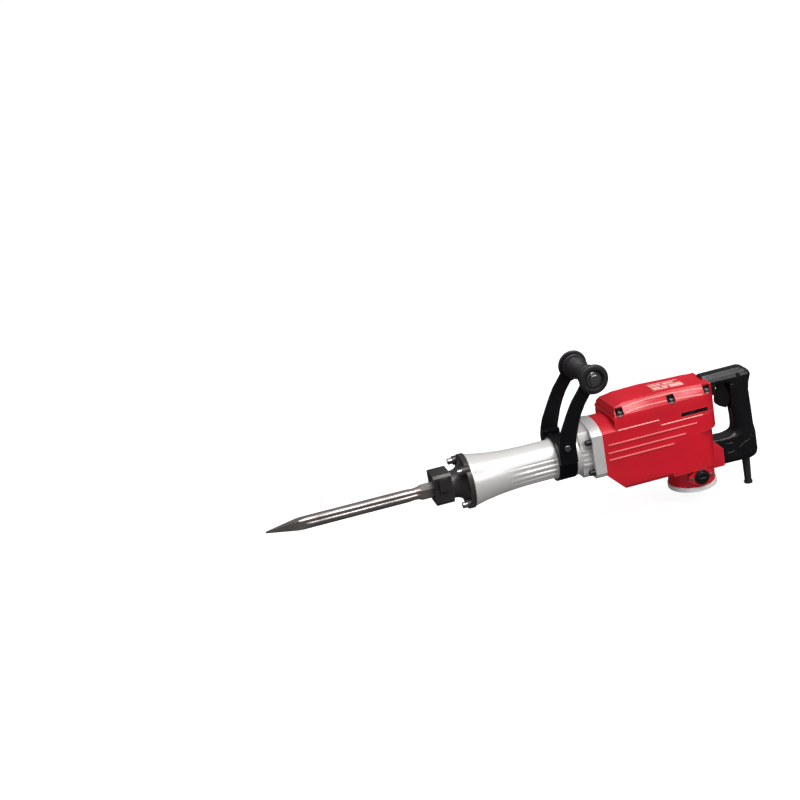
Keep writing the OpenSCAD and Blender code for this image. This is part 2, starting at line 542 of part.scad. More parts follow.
module side_arms() color([0.08, 0.08, 0.09]) at_axis() both_y() difference() {
  union() {
    slab_y(concat(arm_left, arm_right), arm_y, arm_y + arm_t);
    translate([gx, 0, side_grip_h]) rod_y(arm_y, arm_y + arm_t, 27);
  }
  translate([gx, 0, side_grip_h]) rod_y(arm_y - 1, arm_y + arm_t + 1, 6);
  translate([-280, 0, 36]) rod_y(arm_y - 1, arm_y + arm_t + 1, 4.1);
}
module side_grip() color([0.15, 0.14, 0.15]) at_axis() translate([gx, 0, side_grip_h]) difference() {
  union() {
    rod_y(-arm_y, arm_y, 17);
    both_y() for (f = [[6, 0, 26], [14, 9, 21], [20, 17, 19.5]]) rod_y(arm_y - f[0], arm_y - f[1], f[2]);
  }
  rod_y(-arm_y - 1, arm_y + 1, 6);
}
module grip_discs() color([0.13, 0.13, 0.14]) at_axis() translate([gx, 0, side_grip_h])
both_y() difference() {
  rod_y(arm_y + arm_t, arm_y + arm_t + 8, 31);
  rod_y(arm_y + arm_t - 1, arm_y + arm_t + 9, 6);
  rod_y(arm_y + arm_t + 3, arm_y + arm_t + 9, 19);
}
module grip_bolt() color([0.72, 0.72, 0.74]) at_axis() translate([gx, 0, side_grip_h]) {
  rod_y(-arm_y - arm_t - 3, arm_y + arm_t + 3, 5.95);
  rotate([90, 0, 0]) translate([0, 0, arm_y + arm_t + 3]) cylinder(h = 7, r = 11, $fn = 6);
}
module grip_nut() color([0.72, 0.72, 0.74]) at_axis() translate([gx, 0, side_grip_h]) rotate([-90, 0, 0])
  translate([0, 0, arm_y + arm_t + 3]) cylinder(h = 7, r = 11, $fn = 6);
module band_bolts() color([0.4, 0.4, 0.42]) at_axis() translate([-280, 0, 36]) both_y() {
  rod_y(band_in - 3.4, arm_y + arm_t, 4);
  rod_y(arm_y + arm_t, arm_y + arm_t + 4.5, 6.5);
}

main_housing();
top_cover();
top_cover_bolts();
name_plate();
gear_case();
gear_case_bolts();
cylinder_case();
cylinder_liner();
front_cover();
front_cover_bolts();
tool_bush();
hammer_holder();
damper_ring();
tail_cover();
tail_cover_screws();
stator_core();
field_coils();
motor_bearings();
shaft_bearings();
bearing_plate();
plate_screws();
brush_holders();
carbon_brushes();
brush_covers();
brush_cover_screws();
handle_shell_near();
handle_shell_far();
handle_screws();
handle_bracket();
bracket_screws();
switch_block();
cord_guard();
chisel();
tool_retainer();
armature_shaft();
armature_core();
commutator();
cooling_fan();
countershaft();
countershaft_gear();
crank_gear();
crankshaft();
connecting_rod();
wrist_pin();
piston();
piston_ring();
striker();
striker_ring();
impact_bolt();
clamp_band();
side_arms();
side_grip();
grip_discs();
grip_bolt();
grip_nut();
band_bolts();
trigger();
trigger_pin();
lock_button();
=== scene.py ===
"""Electric demolition hammer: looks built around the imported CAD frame."""

import json
import math

import bmesh
import bpy
from mathutils import Matrix, Vector

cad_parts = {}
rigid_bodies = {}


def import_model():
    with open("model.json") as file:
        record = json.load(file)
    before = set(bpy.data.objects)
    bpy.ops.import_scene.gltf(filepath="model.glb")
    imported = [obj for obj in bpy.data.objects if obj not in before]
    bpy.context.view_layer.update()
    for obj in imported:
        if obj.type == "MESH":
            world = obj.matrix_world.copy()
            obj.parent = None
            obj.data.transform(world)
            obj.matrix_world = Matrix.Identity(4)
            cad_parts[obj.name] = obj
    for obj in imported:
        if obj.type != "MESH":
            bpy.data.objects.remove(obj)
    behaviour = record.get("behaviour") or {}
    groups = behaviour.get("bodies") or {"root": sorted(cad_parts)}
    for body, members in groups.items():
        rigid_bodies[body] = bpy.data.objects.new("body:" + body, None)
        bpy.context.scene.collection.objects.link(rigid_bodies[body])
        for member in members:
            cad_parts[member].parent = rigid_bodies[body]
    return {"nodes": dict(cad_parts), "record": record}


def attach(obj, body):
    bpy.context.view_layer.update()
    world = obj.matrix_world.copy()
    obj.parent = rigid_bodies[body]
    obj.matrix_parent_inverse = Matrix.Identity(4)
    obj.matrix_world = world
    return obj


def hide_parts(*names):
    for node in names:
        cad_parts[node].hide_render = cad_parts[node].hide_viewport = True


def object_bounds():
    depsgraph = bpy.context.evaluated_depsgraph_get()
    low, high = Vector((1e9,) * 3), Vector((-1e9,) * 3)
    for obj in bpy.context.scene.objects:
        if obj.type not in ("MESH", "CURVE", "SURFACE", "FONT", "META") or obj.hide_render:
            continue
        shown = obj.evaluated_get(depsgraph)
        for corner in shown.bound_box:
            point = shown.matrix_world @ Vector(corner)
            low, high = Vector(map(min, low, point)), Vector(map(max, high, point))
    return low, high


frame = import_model()
CAD_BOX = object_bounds()
MM = 0.001
AXIS = 0.135             # height of the hammer axis, in metres
BACKDROP = 1.02          # how bright the room looks
FLOOR_GLOW = 0.86        # how bright the floor looks, besides its light
FLOOR_GAP = 0.0005       # the floor lies this far under the tool


# ---- camera, floor and light ---------------------------------------------------------------------
def make_camera():
    """Camera with a slight roll, looking at the barrel from the front left."""
    place = Vector((-1.07528, -2.61833, 1.19347))
    aim = Vector((-0.58764, 0.0, 0.33652))
    roll = -0.185039
    back = (place - aim).normalized()
    right = Vector((0, 0, 1)).cross(back).normalized()
    up = back.cross(right)
    c, s = math.cos(roll), math.sin(roll)
    turn = Matrix((c * right + s * up, c * up - s * right, back)).transposed()
    data = bpy.data.cameras.new("camera")
    data.sensor_width = 36
    data.lens = 63.645
    data.clip_start, data.clip_end = 0.05, 60
    cam = bpy.data.objects.new("camera", data)
    cam.matrix_world = Matrix.Translation(place) @ turn.to_4x4()
    bpy.context.scene.collection.objects.link(cam)
    bpy.context.scene.camera = cam


def area_light(name, place, aim, size, power):
    """Soft box; size is (width, height) in metres."""
    data = bpy.data.lights.new(name, "AREA")
    data.shape = "RECTANGLE"
    data.size, data.size_y = size
    data.energy = power
    lamp = bpy.data.objects.new(name, data)
    lamp.location = place
    lamp.rotation_euler = (Vector(place) - Vector(aim)).to_track_quat("Z", "Y").to_euler()
    bpy.context.scene.collection.objects.link(lamp)


def sun_light(name, towards, power, spread):
    data = bpy.data.lights.new(name, "SUN")
    data.energy = power
    data.angle = math.radians(spread)
    lamp = bpy.data.objects.new(name, data)
    lamp.rotation_euler = Vector(towards).to_track_quat("Z", "Y").to_euler()
    bpy.context.scene.collection.objects.link(lamp)


def make_studio():
    """White room that is bright to look at, gives soft light and shows only dimly in glossy parts."""
    scene = bpy.context.scene
    scene.view_settings.view_transform = "Standard"
    world = bpy.data.worlds.new("studio")
    scene.world = world
    world.use_nodes = True
    tree = world.node_tree
    tree.nodes.clear()
    out = tree.nodes.new("ShaderNodeOutputWorld")
    room = tree.nodes.new("ShaderNodeBackground")
    room.inputs["Color"].default_value = (1, 1, 1, 1)
    rays = tree.nodes.new("ShaderNodeLightPath")
    glossy = tree.nodes.new("ShaderNodeMapRange")
    around = tree.nodes.new("ShaderNodeTexCoord")
    split = tree.nodes.new("ShaderNodeSeparateXYZ")
    tree.links.new(around.outputs["Generated"], split.inputs[0])
    for label, below, above in (("To Min", 0.24, 0.5), ("To Max", 0.01, 0.36)):
        grade = tree.nodes.new("ShaderNodeMapRange")
        grade.inputs["From Min"].default_value = -0.1
        grade.inputs["From Max"].default_value = 0.95
        grade.inputs["To Min"].default_value = below
        grade.inputs["To Max"].default_value = above
        tree.links.new(split.outputs["Z"], grade.inputs["Value"])
        tree.links.new(grade.outputs["Result"], glossy.inputs[label])
    seen = tree.nodes.new("ShaderNodeMix")
    seen.inputs["B"].default_value = BACKDROP
    tree.links.new(rays.outputs["Is Glossy Ray"], glossy.inputs["Value"])
    tree.links.new(rays.outputs["Is Camera Ray"], seen.inputs["Factor"])
    tree.links.new(glossy.outputs["Result"], seen.inputs["A"])
    tree.links.new(seen.outputs["Result"], room.inputs["Strength"])
    tree.links.new(room.outputs[0], out.inputs[0])
    floor_z = CAD_BOX[0].z - FLOOR_GAP
    me = bpy.data.meshes.new("floor")
    side = 40
    corners = ((-side, -side), (side, -side), (side, side), (-side, side))
    me.from_pydata([(x, y, floor_z) for x, y in corners], [], [(0, 1, 2, 3)])
    floor = bpy.data.objects.new("floor", me)
    scene.collection.objects.link(floor)
    paint = bpy.data.materials.new("floor_paint")
    paint.use_nodes = True
    tree = paint.node_tree
    shader = tree.nodes["Principled BSDF"]
    shader.inputs["Roughness"].default_value = 0.9
    shader.inputs["Specular IOR Level"].default_value = 0.1
    shader.inputs["Emission Color"].default_value = (1, 1, 1, 1)
    rays = tree.nodes.new("ShaderNodeLightPath")
    glow = tree.nodes.new("ShaderNodeMath")
    glow.operation = "MULTIPLY"
    glow.inputs[1].default_value = FLOOR_GLOW
    tree.links.new(rays.outputs["Is Camera Ray"], glow.inputs[0])
    pale = tree.nodes.new("ShaderNodeMix")
    pale.data_type = "RGBA"
    pale.inputs[6].default_value = (0.4, 0.4, 0.4, 1)
    pale.inputs[7].default_value = (0.05, 0.05, 0.05, 1)
    tree.links.new(rays.outputs["Is Glossy Ray"], pale.inputs[0])
    tree.links.new(pale.outputs[2], shader.inputs["Base Color"])
    tree.links.new(glow.outputs[0], shader.inputs["Emission Strength"])
    me.materials.append(paint)
    middle = (-0.35, 0, 0.15)
    sun_light("key", (0.18, -0.55, 0.85), 1.9, 24)
    area_light("strip", (-0.35, -0.35, 1.5), middle, (2.2, 0.35), 13)
    area_light("side_box", (0.9, -1.9, 0.9), middle, (0.5, 1.2), 9)


make_camera()
make_studio()


# ---- shared shader groups ------------------------------------------------------------------------
def new_group(name, ins, outs):
    """Shader group with named sockets; ins and outs are (name, kind, default)."""
    kinds = {"v": "NodeSocketFloat", "n": "NodeSocketVector"}
    tree = bpy.data.node_groups.new(name, "ShaderNodeTree")
    for label, kind, value in ins:
        sock = tree.interface.new_socket(label, in_out="INPUT", socket_type=kinds[kind])
        if value is not None:
            sock.default_value = value
    for label, kind in outs:
        tree.interface.new_socket(label, in_out="OUTPUT", socket_type=kinds[kind])
    return tree, Wiring(tree), tree.nodes.new("NodeGroupInput"), tree.nodes.new("NodeGroupOutput")


class Wiring:
    """Small helper that adds nodes to one tree and links them."""

    def __init__(self, tree):
        self.tree = tree

    def add(self, kind, **values):
        node = self.tree.nodes.new(kind)
        for key, value in values.items():
            setattr(node, key, value)
        return node

    def put(self, source, target):
        """source is an output socket or a constant."""
        if isinstance(source, bpy.types.NodeSocket):
            self.tree.links.new(source, target)
        elif source is not None:
            target.default_value = source

    def math(self, how, a, b=None, clamp=False):
        node = self.add("ShaderNodeMath", operation=how, use_clamp=clamp)
        for sock, value in zip(node.inputs, (a, b)):
            self.put(value, sock)
        return node.outputs[0]

    def ramp(self, value, low, high, to_low=0.0, to_high=1.0):
        node = self.add("ShaderNodeMapRange", interpolation_type="SMOOTHSTEP")
        for label, v in (("Value", value), ("From Min", low), ("From Max", high),
                         ("To Min", to_low), ("To Max", to_high)):
            self.put(v, node.inputs[label])
        return node.outputs["Result"]

    def mix(self, fac, a, b):
        node = self.add("ShaderNodeMix", data_type="RGBA")
        self.put(fac, node.inputs[0])
        self.put(a, node.inputs[6])
        self.put(b, node.inputs[7])
        return node.outputs[2]

    def noise(self, vector, scale, detail, rough):
        node = self.add("ShaderNodeTexNoise")
        self.put(vector, node.inputs["Vector"])
        self.put(scale, node.inputs["Scale"])
        node.inputs["Detail"].default_value = detail
        node.inputs["Roughness"].default_value = rough
        return node.outputs["Fac"]

    def stretch(self, vector, scale):
        node = self.add("ShaderNodeMapping")
        self.put(vector, node.inputs["Vector"])
        node.inputs["Scale"].default_value = scale
        return node.outputs["Vector"]


def edge_wear_and_highlight_group():
    """Masks: Edge is 1 on outer edges and also places painted highlights; Worn is that mask broken up by a noise.
    """
    tree, w, gin, gout = new_group("edge_wear", [
        ("Vector", "n", None), ("Width", "v", 0.0012), ("Breakup", "v", 260.0), ("Amount", "v", 0.6)],
        [("Edge", "v"), ("Worn", "v")])
    bevel = w.add("ShaderNodeBevel", samples=6)
    w.put(gin.outputs["Width"], bevel.inputs["Radius"])
    geo = w.add("ShaderNodeNewGeometry")
    dot = w.add("ShaderNodeVectorMath", operation="DOT_PRODUCT")
    w.put(bevel.outputs[0], dot.inputs[0])
    w.put(geo.outputs["Normal"], dot.inputs[1])
    edge = w.ramp(dot.outputs["Value"], 0.995, 0.90)
    patchy = w.ramp(w.noise(gin.outputs["Vector"], gin.outputs["Breakup"], 4.0, 0.65), 0.42, 0.6)
    w.put(edge, gout.inputs["Edge"])
    worn = w.math("MULTIPLY", w.math("MULTIPLY", edge, patchy), gin.outputs["Amount"], clamp=True)
    w.put(worn, gout.inputs["Worn"])
    return tree


def surface_group():
    """Fine grain for bump and broad smudges for colour and roughness."""
    tree, w, gin, gout = new_group("surface_variation", [
        ("Vector", "n", None), ("Grain Scale", "v", 900.0), ("Smudge Scale", "v", 9.0)],
        [("Grain", "v"), ("Smudge", "v"), ("Speck", "v")])
    w.put(w.noise(gin.outputs["Vector"], gin.outputs["Grain Scale"], 3.0, 0.6), gout.inputs["Grain"])
    broad = w.noise(gin.outputs["Vector"], gin.outputs["Smudge Scale"], 5.0, 0.6)
    w.put(w.ramp(broad, 0.32, 0.68), gout.inputs["Smudge"])
    fine_scale = w.math("MULTIPLY", gin.outputs["Smudge Scale"], 38.0)
    fine = w.noise(gin.outputs["Vector"], fine_scale, 2.0, 0.7)
    w.put(w.ramp(fine, 0.66, 0.76), gout.inputs["Speck"])
    return tree


EDGE_WEAR_AND_HIGHLIGHT = edge_wear_and_highlight_group()
SURFACE = surface_group()


def finish_material(name, base, dark, edge_wear_and_highlight_color, rough, metallic=0.0, grain=900.0, grain_depth=0.1,
                    rough_spread=0.12, smudge=9.0, edge_width=0.0012, edge_amount=0.5, coat=0.0,
                    lines=None, speck=0.15, specular=0.5, edge_highlight=0.0):
    """Painted, cast, moulded or machined finish with worn edges, painted highlights along edges, grain and
    smudges.
    """
    mat = bpy.data.materials.new(name)
    mat.use_nodes = True
    tree = mat.node_tree
    w = Wiring(tree)
    shader = tree.nodes["Principled BSDF"]
    coords = w.add("ShaderNodeTexCoord").outputs["Object"]
    edge_masks = w.add("ShaderNodeGroup", node_tree=EDGE_WEAR_AND_HIGHLIGHT)
    w.put(coords, edge_masks.inputs["Vector"])
    edge_masks.inputs["Width"].default_value = edge_width
    edge_masks.inputs["Amount"].default_value = edge_amount
    skin = w.add("ShaderNodeGroup", node_tree=SURFACE)
    w.put(coords, skin.inputs["Vector"])
    skin.inputs["Grain Scale"].default_value = grain
    skin.inputs["Smudge Scale"].default_value = smudge
    color = w.mix(skin.outputs["Smudge"], (*base, 1), (*dark, 1))
    speck_color = (*[v * 0.55 for v in dark], 1)
    color = w.mix(w.math("MULTIPLY", skin.outputs["Speck"], speck), color, speck_color)
    # edge_highlight paints a highlight: it lightens every edge towards the edge colour
    if edge_highlight:
        color = w.mix(w.math("MULTIPLY", edge_masks.outputs["Edge"], edge_highlight), color, (*edge_wear_and_highlight_color, 1))
    # worn edges take the same edge colour; where that colour is pale, as on the red paint, it also paints a
    # highlight
    color = w.mix(edge_masks.outputs["Worn"], color, (*edge_wear_and_highlight_color, 1))
    height = skin.outputs["Grain"]
    rough_value = w.ramp(skin.outputs["Smudge"], 0, 1,
                         rough - rough_spread / 2, rough + rough_spread / 2)
    if lines:
        drawn = w.noise(w.stretch(coords, lines), 1.0, 3.0, 0.6)
        height = w.math("ADD", height, w.math("MULTIPLY", drawn, 1.5))
        rough_value = w.math("ADD", rough_value, w.ramp(drawn, 0.3, 0.7, -0.07, 0.07))
        color = w.mix(w.ramp(drawn, 0.35, 0.65, 0.0, 0.35), color, (*[v * 0.7 for v in base], 1))
    bump = w.add("ShaderNodeBump")
    bump.inputs["Strength"].default_value = grain_depth
    bump.inputs["Distance"].default_value = 0.0004
    w.put(height, bump.inputs["Height"])
    w.put(color, shader.inputs["Base Color"])
    w.put(rough_value, shader.inputs["Roughness"])
    w.put(bump.outputs["Normal"], shader.inputs["Normal"])
    shader.inputs["Metallic"].default_value = metallic
    shader.inputs["Specular IOR Level"].default_value = specular
    shader.inputs["Coat Weight"].default_value = coat
    shader.inputs["Coat Roughness"].default_value = 0.1
    return mat


FINISH = {
    # pink edge colour and edge_highlight paint highlights along the red paint's edges
    "red_paint": finish_material("red_paint", (0.57, 0.005, 0.018), (0.48, 0.0035, 0.013), (0.9, 0.2, 0.2), 0.36,
                                 grain=500, grain_depth=0.06, edge_amount=0.3, edge_highlight=0.5, coat=0.1,
                                 edge_width=0.0015, speck=0.05, specular=0.32),
    # pale lit copy of the red paint: a painted highlight for the raised lines
    "red_line": finish_material("red_line", (0.92, 0.36, 0.33), (0.85, 0.25, 0.24), (1.0, 0.6, 0.55), 0.3,
                                grain_depth=0.05, edge_amount=0.2, coat=0.3),
    "name_plate": finish_material("name_plate", (0.85, 0.62, 0.56), (0.8, 0.5, 0.45), (0.95, 0.8, 0.8), 0.35,
                                  grain_depth=0.05, speck=0.1),
    "silver_case": finish_material("silver_case", (0.68, 0.665, 0.65), (0.6, 0.585, 0.57), (0.9, 0.9, 0.89), 0.36,
                                   metallic=0.32, grain=1400, grain_depth=0.12, edge_amount=0.3, coat=0.15,
                                   speck=0.12),
    "grey_case": finish_material("grey_case", (0.78, 0.765, 0.75), (0.62, 0.605, 0.59), (0.88, 0.88, 0.87), 0.36,
                                 metallic=0.45, grain=900, grain_depth=0.2, edge_amount=0.4),
    "black_cast": finish_material("black_cast", (0.06, 0.052, 0.052), (0.03, 0.026, 0.027), (0.2, 0.18, 0.18),
                                  0.4, metallic=0.5, grain=420, grain_depth=0.5, edge_amount=0.6,
                                  edge_width=0.0016, edge_highlight=0.2),
    "black_steel": finish_material("black_steel", (0.004, 0.004, 0.005), (0.002, 0.002, 0.003), (0.1, 0.1, 0.11),
                                   0.42, metallic=0.0, grain=700, grain_depth=0.12, edge_amount=0.35,
                                   specular=0.18),
    "chisel_steel": finish_material("chisel_steel", (0.36, 0.325, 0.31), (0.17, 0.15, 0.145), (0.75, 0.72, 0.7),
                                    0.33, metallic=0.8, grain=300, grain_depth=0.35, smudge=16,
                                    lines=(9, 240, 240), edge_amount=0.6, edge_width=0.002),
    "steel": finish_material("steel", (0.5, 0.5, 0.52), (0.42, 0.42, 0.44), (0.75, 0.75, 0.77), 0.3,
                             metallic=0.95, grain_depth=0.1, lines=(30, 260, 260)),
    "bolt_steel": finish_material("bolt_steel", (0.36, 0.36, 0.36), (0.2, 0.2, 0.21), (0.85, 0.85, 0.85), 0.3,
                                  metallic=0.9, grain_depth=0.15, edge_amount=0.6),
    "dark_bolt": finish_material("dark_bolt", (0.03, 0.03, 0.032), (0.02, 0.02, 0.02), (0.35, 0.35, 0.36), 0.35,
                                 metallic=0.6, edge_amount=0.7),
    "bright_bolt": finish_material("bright_bolt", (0.5, 0.5, 0.52), (0.3, 0.3, 0.32), (0.95, 0.95, 0.95), 0.22,
                                   metallic=1.0, grain_depth=0.08, edge_amount=0.5),
    "black_plastic": finish_material("black_plastic", (0.006, 0.006, 0.007), (0.003, 0.003, 0.004),
                                     (0.16, 0.16, 0.17), 0.26, grain=1500, grain_depth=0.2, edge_amount=0.12,
                                     edge_highlight=0.1, edge_width=0.002, specular=0.4),
    "grip_rubber": finish_material("grip_rubber", (0.014, 0.012, 0.014), (0.008, 0.007, 0.008), (0.16, 0.14, 0.15),
                                   0.45, grain=1200, grain_depth=0.4, edge_amount=0.2, edge_highlight=0.1),
    "light_plastic": finish_material("light_plastic", (0.74, 0.73, 0.72), (0.66, 0.65, 0.64), (0.9, 0.9, 0.9),
                                     0.42, grain=1000, grain_depth=0.12, edge_amount=0.2),
    "rubber": finish_material("rubber", (0.02, 0.02, 0.022), (0.014, 0.014, 0.015), (0.1, 0.1, 0.1), 0.5,
                              grain=900, grain_depth=0.3, edge_amount=0.1),
    "laminate": finish_material("laminate", (0.2, 0.2, 0.21), (0.13, 0.13, 0.14), (0.5, 0.5, 0.5), 0.5,
                                metallic=0.7, lines=(40, 40, 900)),
    "copper": finish_material("copper", (0.62, 0.26, 0.1), (0.48, 0.18, 0.07), (0.85, 0.5, 0.3), 0.35,
                              metallic=0.8, lines=(60, 60, 700)),
    "brass": finish_material("brass", (0.68, 0.5, 0.22), (0.56, 0.4, 0.16), (0.85, 0.7, 0.4), 0.32, metallic=0.9),
    "carbon": finish_material("carbon", (0.015, 0.015, 0.015), (0.01, 0.01, 0.01), (0.06, 0.06, 0.06), 0.6),
}
SLOT_OF = {s["node"]: s["material_slot"] for s in frame["record"]["subparts"]}


def body_of_node(node):
    for body, names in frame["record"]["behaviour"]["bodies"].items():
        if node in names:
            return body


def dress(obj, slot):
    """Gives a piece one finish."""
    obj.data.materials.clear()
    obj.data.materials.append(FINISH[slot])


def smooth(obj, angle=32):
    for p in obj.data.polygons:
        p.use_smooth = True
    obj.data.set_sharp_from_angle(angle=math.radians(angle))


def add_piece(name, me, node, slot=None, stands_for=None):
    """Links a finished mesh, gives it its finish, and rides it on the body of its CAD node."""
    obj = bpy.data.objects.new(name, me)
    bpy.context.scene.collection.objects.link(obj)
    slot = slot or SLOT_OF[node]
    dress(obj, slot)
    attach(obj, body_of_node(node))
    if stands_for:
        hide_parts(*stands_for)
    return obj


def round_edges(obj, width, segments=3, angle=28):
    """Rounds edges sharper than an angle; the width is in millimetres."""
    mod = obj.modifiers.new("round", "BEVEL")
    mod.width = width * MM
    mod.segments = segments
    mod.limit_method = "ANGLE"
    mod.angle_limit = math.radians(angle)


# ---- mesh tools ----------------------------------------------------------------------------------
def mesh_of(name, verts, faces):
    """Mesh from points in millimetres above the hammer axis, with faces turned outwards."""
    bm = bmesh.new()
    made = [bm.verts.new((x * MM, y * MM, z * MM + AXIS)) for x, y, z in verts]
    for f in faces:
        bm.faces.new([made[i] for i in f])
    bmesh.ops.recalc_face_normals(bm, faces=bm.faces)
    me = bpy.data.meshes.new(name)
    bm.to_mesh(me)
    bm.free()
    return me


def joined(name, *meshes):
    """One mesh from several."""
    bm = bmesh.new()
    for me in meshes:
        bm.from_mesh(me)
    me = bpy.data.meshes.new(name)
    bm.to_mesh(me)
    bm.free()
    return me


def eased(points, steps=4):
    """Closed outline whose corners are rounded; a point is (a, b, reach of the rounding)."""
    out = []
    for i, (a, b, r) in enumerate(points):
        if r == 0:
            out.append((a, b))
            continue
        here = Vector((a, b))
        before = Vector(points[i - 1][:2]) - here
        after = Vector(points[(i + 1) % len(points)][:2]) - here
        start = here + before.normalized() * min(r, before.length / 2.001)
        end = here + after.normalized() * min(r, after.length / 2.001)
        for k in range(steps + 1):
            t = k / steps
            out.append(tuple(start * (1 - t) ** 2 + here * 2 * t * (1 - t) + end * t * t))
    return out


def turned(name, profile, axis="X", centre=(0, 0, 0), steps=96, hollow=False, shape=None):
    """Lathed form; profile is (along, radius) in mm, and shape(along, turn) changes the radius."""
    verts, faces, rings = [], [], []
    for along, radius in profile:
        ring = []
        for k in range(1 if radius < 1e-6 else steps):
            turn = 2 * math.pi * k / steps
            r = radius + (shape(along, turn) if shape else 0)
            a, b = r * math.cos(turn), r * math.sin(turn)
            place = {"X": (along, a, b), "Y": (b, along, a)}[axis]
            ring.append(len(verts))
            verts.append(tuple(p + c for p, c in zip(place, centre)))
        rings.append(ring)
    pairs = list(zip(rings, rings[1:])) + ([(rings[-1], rings[0])] if hollow else [])
    for lo, hi in pairs:
        for k in range(steps):
            j = (k + 1) % steps
            quad = [lo[k % len(lo)], lo[j % len(lo)], hi[j % len(hi)], hi[k % len(hi)]]
            quad = list(dict.fromkeys(quad))
            if len(quad) > 2:
                faces.append(quad)
    return mesh_of(name, verts, faces)


def slab(name, outline, lo, hi, plane="XZ"):
    """Flat piece cut to an outline; plane XZ is drawn along Y, and YZ along X."""
    put = {"XZ": lambda u, v, w: (u, w, v), "YZ": lambda u, v, w: (w, u, v)}[plane]
    n = len(outline)
    verts = [put(u, v, w) for w in (lo, hi) for u, v in outline]
    faces = [list(range(n)), list(range(n, 2 * n))]
    faces += [[i, (i + 1) % n, n + (i + 1) % n, n + i] for i in range(n)]
    return mesh_of(name, verts, faces)


def brick(name, x0, x1, y0, y1, z0, z1):
    return slab(name, [(x0, z0), (x1, z0), (x1, z1), (x0, z1)], y0, y1)


def mirrored(me):
    """Adds the other side, across the middle plane, to a mesh."""
    bm = bmesh.new()
    bm.from_mesh(me)
    both = bmesh.ops.duplicate(bm, geom=bm.verts[:] + bm.edges[:] + bm.faces[:])["geom"]
    for v in (g for g in both if isinstance(g, bmesh.types.BMVert)):
        v.co.y = -v.co.y
    bmesh.ops.reverse_faces(bm, faces=[g for g in both if isinstance(g, bmesh.types.BMFace)])
    bm.to_mesh(me)
    bm.free()
    return me


def settled(name, me, build):
    """Runs modifiers over a mesh and returns the plain result."""
    obj = bpy.data.objects.new(name, me)
    bpy.context.scene.collection.objects.link(obj)
    build(obj)
    bpy.context.view_layer.update()
    depsgraph = bpy.context.evaluated_depsgraph_get()
    done = bpy.data.meshes.new_from_object(obj.evaluated_get(depsgraph))
    bpy.data.objects.remove(obj)
    done.name = name
    return done


def healed(node):
    """Merged copy of a CAD node with its flat faces whole."""
    bm = bmesh.new()
    bm.from_mesh(frame["nodes"][node].data)
    bmesh.ops.remove_doubles(bm, verts=bm.verts, dist=2e-6)
    bmesh.ops.dissolve_limit(bm, angle_limit=math.radians(1), verts=bm.verts, edges=bm.edges)
    me = bpy.data.meshes.new(node + "_look")
    bm.to_mesh(me)
    bm.free()
    return me


def refined(node, width):
    """The CAD node's own shape with its edges rounded."""
    obj = add_piece(node + "_look", healed(node), node, stands_for=[node])
    round_edges(obj, width)
    smooth(obj)


def carve(me, *tools):
    """Cuts closed meshes out of a mesh."""
    def build(obj):
        for tool in tools:
            knife = bpy.data.objects.new("knife", tool)
            bpy.context.scene.collection.objects.link(knife)
            mod = obj.modifiers.new("cut", "BOOLEAN")
            mod.operation, mod.object, mod.solver = "DIFFERENCE", knife, "EXACT"
    done = settled(me.name, me, build)
    for obj in [o for o in bpy.data.objects if o.name.startswith("knife")]:
        bpy.data.objects.remove(obj)
    return done


# ---- Geometry Nodes trees ------------------------------------------------------------------------
def shape_tree(name, ins):
    """Geometry Nodes tree with named sockets; ins are (name, kind, default)."""
    kinds = {"geo": "NodeSocketGeometry", "v": "NodeSocketFloat", "n": "NodeSocketVector",
             "m": "NodeSocketMaterial"}
    tree = bpy.data.node_groups.new(name, "GeometryNodeTree")
    for label, kind, value in [("Geometry", "geo", None)] + ins + [("Material", "m", None)]:
        sock = tree.interface.new_socket(label, in_out="INPUT", socket_type=kinds[kind])
        if value is not None:
            sock.default_value = value
    tree.interface.new_socket("Geometry", in_out="OUTPUT", socket_type="NodeSocketGeometry")
    gin, gout = tree.nodes.new("NodeGroupInput"), tree.nodes.new("NodeGroupOutput")
    return tree, Wiring(tree), gin.outputs, gout


def close_tree(w, geometry, gin, gout):
    solid = w.add("GeometryNodeRealizeInstances")
    w.put(geometry, solid.inputs["Geometry"])
    paint = w.add("GeometryNodeSetMaterial")
    w.put(solid.outputs[0], paint.inputs["Geometry"])
    w.put(gin["Material"], paint.inputs["Material"])
    w.put(paint.outputs[0], gout.inputs["Geometry"])


def cylinder_node(w, radius, height, sides, raise_by):
    """Upright cylinder, raised so that it can stand on its seat."""
    can = w.add("GeometryNodeMeshCylinder")
    w.put(sides, can.inputs["Vertices"])
    w.put(radius, can.inputs["Radius"])
    w.put(height, can.inputs["Depth"])
    lift = w.add("ShaderNodeCombineXYZ")
    w.put(raise_by, lift.inputs["Z"])
    move = w.add("GeometryNodeTransform")
    w.put(can.outputs["Mesh"], move.inputs["Geometry"])
    w.put(lift.outputs[0], move.inputs["Translation"])
    return move.outputs[0]


